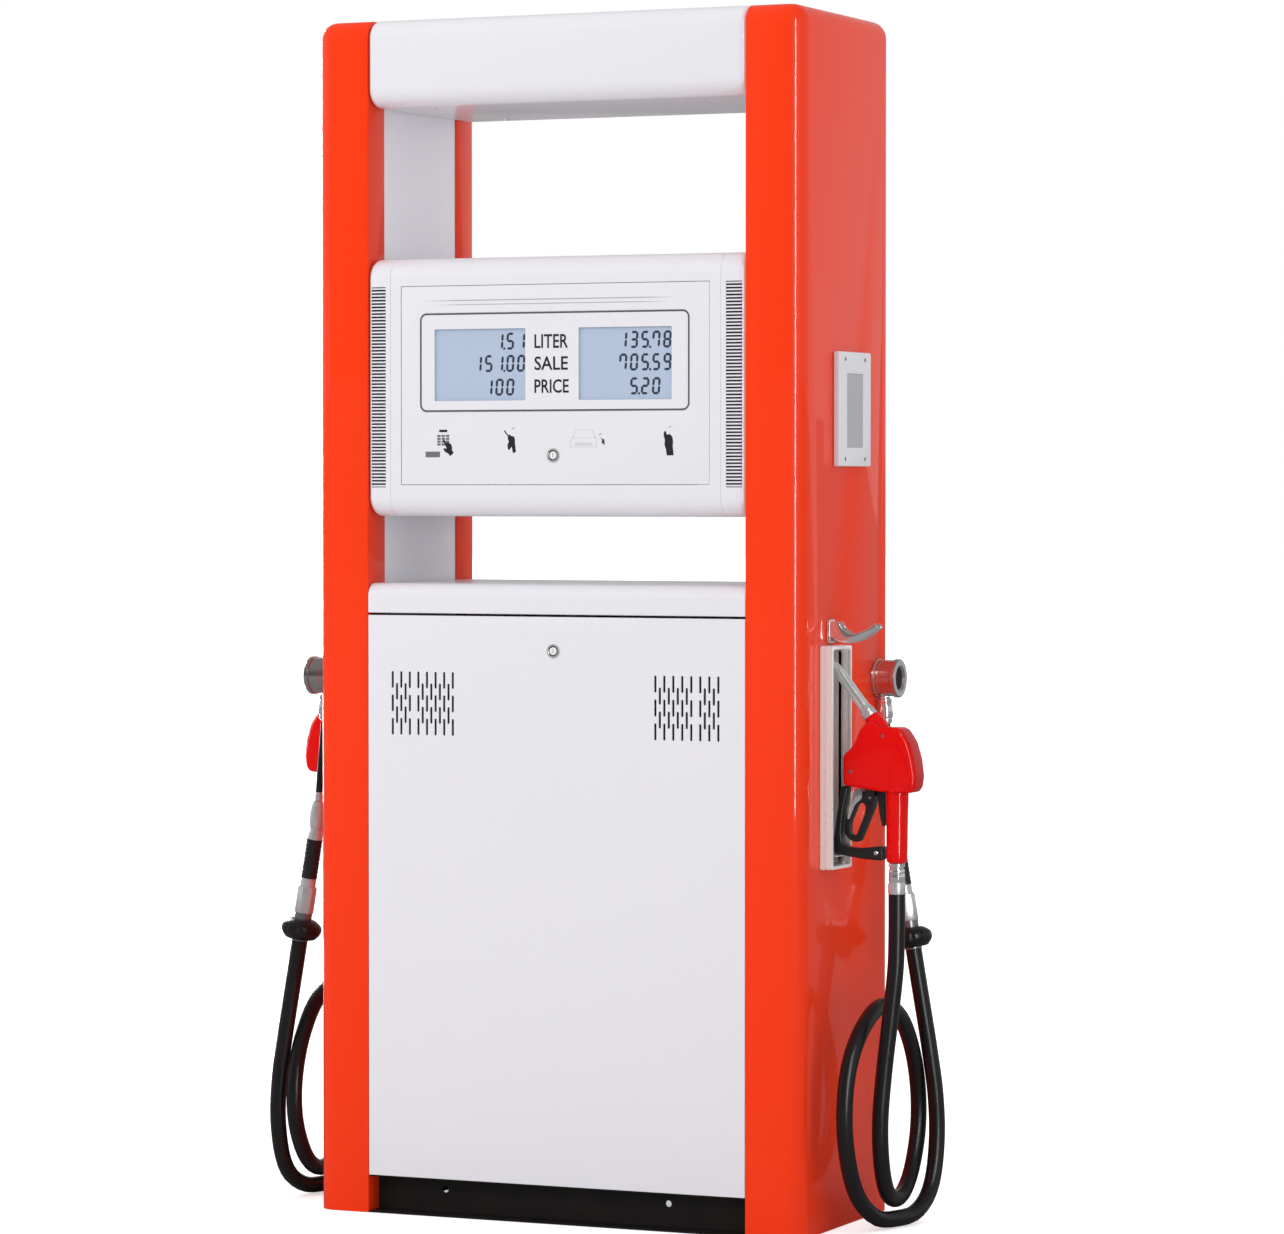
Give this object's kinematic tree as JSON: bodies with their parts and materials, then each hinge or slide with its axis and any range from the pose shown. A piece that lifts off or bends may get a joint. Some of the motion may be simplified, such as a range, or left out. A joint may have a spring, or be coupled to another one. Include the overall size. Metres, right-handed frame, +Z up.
{
  "type": "fuel dispenser",
  "caption": "Double-sided petrol dispenser: columns with nozzles, boots and looped hoses carry a pump cabinet, a display head and a header, with doors, locks and belt drive.",
  "frame": {"origin": "on the floor, under the middle of the body", "axes": "+Z up; -Y is the front face, seen with the nozzle on the right column's front half; +X to the right column"},
  "size_m": [1.321, 0.444, 2.2],
  "materials": {
    "base_frame": "satin black",
    "riser": "satin pale grey",
    "column_cover": "gloss orange",
    "header_housing": "gloss white",
    "head_housing": "gloss white",
    "cabinet_top": "gloss white",
    "door": "gloss white",
    "display_door": "gloss white",
    "display_window": "clear acrylic with a dark printed edge",
    "lcd_board": "circuit board with glass display fields",
    "door_lock": "polished",
    "display_lock": "polished",
    "control_box": "satin grey",
    "pump_unit": "cast, machined faces",
    "pump_pulley": "cast",
    "motor": "painted blue, ribbed",
    "motor_pulley": "cast",
    "drive_belt": "fabric-backed",
    "inlet_pipe": "zinc plated",
    "feed_pipe": "zinc plated",
    "flow_meter": "cast, machined faces",
    "solenoid_valve": "machined, black coil",
    "outlet_pipe": "zinc plated",
    "sight_glass": "polished",
    "hose_swivel": "polished, short stiff whip",
    "breakaway": "machined, black sleeve",
    "hose_guard": "matt",
    "hose": "smooth",
    "nozzle_swivel": "polished",
    "nozzle_body": "cast body in a glossy red cover",
    "nozzle_spout": "polished",
    "nozzle_guard": "moulded",
    "trigger": "moulded",
    "nozzle_boot": "bright formed sheet",
    "hose_hook": "polished",
    "side_plate": "satin white frame, neutral field"
  },
  "bodies": {
    "dispenser": {"base_frame": "base_frame", "riser_right": "riser", "riser_left": "riser", "column_cover_right": "column_cover", "column_cover_left": "column_cover", "header_housing": "header_housing", "head_housing": "head_housing", "cabinet_top": "cabinet_top", "control_box": "control_box", "pump_unit": "pump_unit", "motor": "motor", "drive_belt": "drive_belt", "inlet_pipe": "inlet_pipe", "feed_pipe": "feed_pipe", "flow_meter_right": "flow_meter", "flow_meter_left": "flow_meter", "solenoid_valve_right": "solenoid_valve", "solenoid_valve_left": "solenoid_valve", "outlet_pipe_right": "outlet_pipe", "outlet_pipe_left": "outlet_pipe", "sight_glass_right": "sight_glass", "sight_glass_left": "sight_glass", "hose_swivel_right": "hose_swivel", "hose_swivel_left": "hose_swivel", "breakaway_right": "breakaway", "breakaway_left": "breakaway", "hose_guard_right": "hose_guard", "hose_guard_left": "hose_guard", "hose_right": "hose", "hose_left": "hose", "nozzle_boot_right": "nozzle_boot", "nozzle_boot_left": "nozzle_boot", "hose_hook_right": "hose_hook", "hose_hook_left": "hose_hook", "side_plate_right": "side_plate", "side_plate_left": "side_plate"},
    "door_front": {"door_front": "door"},
    "door_lock_front": {"door_lock_front": "door_lock"},
    "display_front": {"display_door_front": "display_door", "display_window_front": "display_window", "lcd_board_front": "lcd_board"},
    "display_lock_front": {"display_lock_front": "display_lock"},
    "door_rear": {"door_rear": "door"},
    "door_lock_rear": {"door_lock_rear": "door_lock"},
    "display_rear": {"display_door_rear": "display_door", "display_window_rear": "display_window", "lcd_board_rear": "lcd_board"},
    "display_lock_rear": {"display_lock_rear": "display_lock"},
    "nozzle_right": {"nozzle_body_right": "nozzle_body", "nozzle_spout_right": "nozzle_spout", "nozzle_guard_right": "nozzle_guard"},
    "trigger_right": {"trigger_right": "trigger"},
    "nozzle_swivel_right": {"nozzle_swivel_right": "nozzle_swivel"},
    "nozzle_left": {"nozzle_body_left": "nozzle_body", "nozzle_spout_left": "nozzle_spout", "nozzle_guard_left": "nozzle_guard"},
    "trigger_left": {"trigger_left": "trigger"},
    "nozzle_swivel_left": {"nozzle_swivel_left": "nozzle_swivel"},
    "pump_pulley": {"pump_pulley": "pump_pulley"},
    "motor_pulley": {"motor_pulley": "motor_pulley"}
  },
  "joints": [
    {"name": "door_front_tilt", "type": "hinge", "parent": "dispenser", "child": "door_front", "pos_m": [0, -0.2197, 0.07], "axis": [1, 0, 0], "range_deg": [0, 30]},
    {"name": "door_lock_front_turn", "type": "hinge", "parent": "door_front", "child": "door_lock_front", "pos_m": [0, -0.2197, 1.044], "axis": [0, -1, 0], "range_deg": [0, 90]},
    {"name": "display_front_swing", "type": "hinge", "parent": "dispenser", "child": "display_front", "pos_m": [0, -0.2197, 1.709], "axis": [-1, 0, 0], "range_deg": [0, 75]},
    {"name": "display_lock_front_turn", "type": "hinge", "parent": "display_front", "child": "display_lock_front", "pos_m": [0, -0.2197, 1.399], "axis": [0, 1, 0], "range_deg": [0, 90]},
    {"name": "door_rear_tilt", "type": "hinge", "parent": "dispenser", "child": "door_rear", "pos_m": [0, 0.2197, 0.07], "axis": [-1, 0, 0], "range_deg": [0, 30]},
    {"name": "door_lock_rear_turn", "type": "hinge", "parent": "door_rear", "child": "door_lock_rear", "pos_m": [0, 0.2197, 1.044], "axis": [0, 1, 0], "range_deg": [0, 90]},
    {"name": "display_rear_swing", "type": "hinge", "parent": "dispenser", "child": "display_rear", "pos_m": [0, 0.2197, 1.709], "axis": [1, 0, 0], "range_deg": [0, 75]},
    {"name": "display_lock_rear_turn", "type": "hinge", "parent": "display_rear", "child": "display_lock_rear", "pos_m": [0, 0.2197, 1.399], "axis": [0, -1, 0], "range_deg": [0, 90]},
    {"name": "nozzle_right_pull", "type": "slide", "parent": "dispenser", "child": "nozzle_right", "axis": [1, 0, 0], "range_m": [0, 0.12]},
    {"name": "trigger_right_squeeze", "type": "hinge", "parent": "nozzle_right", "child": "trigger_right", "pos_m": [0.568, -0.085, 0.785], "axis": [0, -1, 0], "range_deg": [0, 12], "stiffness_Nm_per_rad": 2, "springref_deg": -8.59},
    {"name": "nozzle_swivel_right_turn", "type": "hinge", "parent": "nozzle_right", "child": "nozzle_swivel_right", "pos_m": [0.6155, -0.085, 0.669], "axis": [0, 0, 1], "continuous": true},
    {"name": "nozzle_left_pull", "type": "slide", "parent": "dispenser", "child": "nozzle_left", "axis": [-1, 0, 0], "range_m": [0, 0.12]},
    {"name": "trigger_left_squeeze", "type": "hinge", "parent": "nozzle_left", "child": "trigger_left", "pos_m": [-0.568, 0.085, 0.785], "axis": [0, 1, 0], "range_deg": [0, 12], "stiffness_Nm_per_rad": 2, "springref_deg": -8.59},
    {"name": "nozzle_swivel_left_turn", "type": "hinge", "parent": "nozzle_left", "child": "nozzle_swivel_left", "pos_m": [-0.6155, 0.085, 0.669], "axis": [0, 0, 1], "continuous": true},
    {"name": "pump_pulley_spin", "type": "hinge", "parent": "dispenser", "child": "pump_pulley", "pos_m": [-0.13, -0.118, 0.24], "axis": [0, -1, 0], "continuous": true},
    {"name": "motor_pulley_spin", "type": "hinge", "parent": "dispenser", "child": "motor_pulley", "pos_m": [0.19, -0.118, 0.21], "axis": [0, -1, 0], "continuous": true}
  ],
  "couplings": [
    {"joint": "motor_pulley_spin", "follows": "pump_pulley_spin", "ratio": 2.348}
  ]
}
